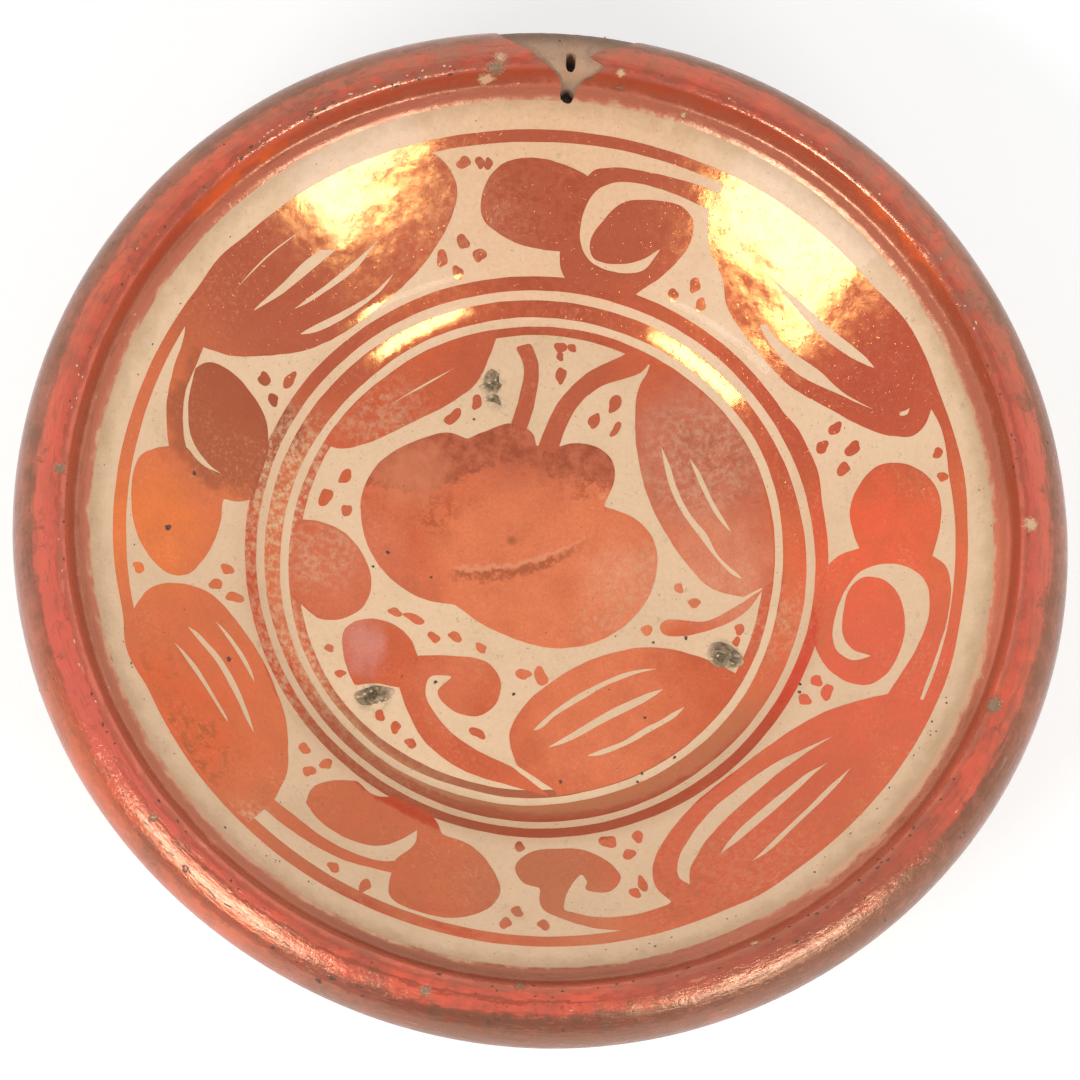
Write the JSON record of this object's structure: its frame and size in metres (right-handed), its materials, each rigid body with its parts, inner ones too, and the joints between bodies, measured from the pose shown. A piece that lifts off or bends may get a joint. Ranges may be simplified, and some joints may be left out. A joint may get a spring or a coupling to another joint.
{
  "type": "lustreware bowl",
  "caption": "Shallow tin-glazed earthenware bowl on a foot ring, painted in copper-red lustre with a flower, leaves and scrolls, its rolled rim pierced for hanging.",
  "frame": {"origin": "the middle of the foot ring's standing face, under the bowl's axis", "axes": "+Z is the bowl's axis, upwards out of its mouth; the wire holes lie at 99 degrees from +X towards +Y, so +Y is the top of the painting"},
  "size_m": [0.2116, 0.2116, 0.0481],
  "materials": {
    "clay": "matte",
    "tin_glaze": "glossy",
    "rim_lustre": "glossy",
    "line_lustre": "glossy",
    "border_lustre": "glossy",
    "floor_lustre": "glossy"
  },
  "bodies": {
    "root": {"clay_body": "clay", "glaze_inside": "tin_glaze", "glaze_outside": "tin_glaze", "glaze_recess": "tin_glaze", "rim_band": "rim_lustre", "border_line": "line_lustre", "well_line_outer": "line_lustre", "well_line_middle": "line_lustre", "well_line_inner": "line_lustre", "leaf_upper_right": "border_lustre", "leaf_upper_left": "border_lustre", "leaf_lower_left": "border_lustre", "leaf_lower_right": "border_lustre", "scroll_top": "border_lustre", "scroll_right": "border_lustre", "scroll_bottom_right": "border_lustre", "stem_left": "border_lustre", "stem_bottom": "border_lustre", "fruit_right": "border_lustre", "fruit_top": "border_lustre", "fruit_left": "border_lustre", "fruit_bottom": "border_lustre", "seed_left": "border_lustre", "bud_bottom": "border_lustre", "flower": "floor_lustre", "flower_stem_left": "floor_lustre", "flower_stem_right": "floor_lustre", "floor_leaf_upper_left": "floor_lustre", "floor_leaf_upper_right": "floor_lustre", "floor_leaf_lower_right": "floor_lustre", "floor_bud_left": "floor_lustre", "floor_bud_lower_left": "floor_lustre", "floor_scroll": "floor_lustre", "floor_stroke": "floor_lustre"}
  },
  "joints": []
}
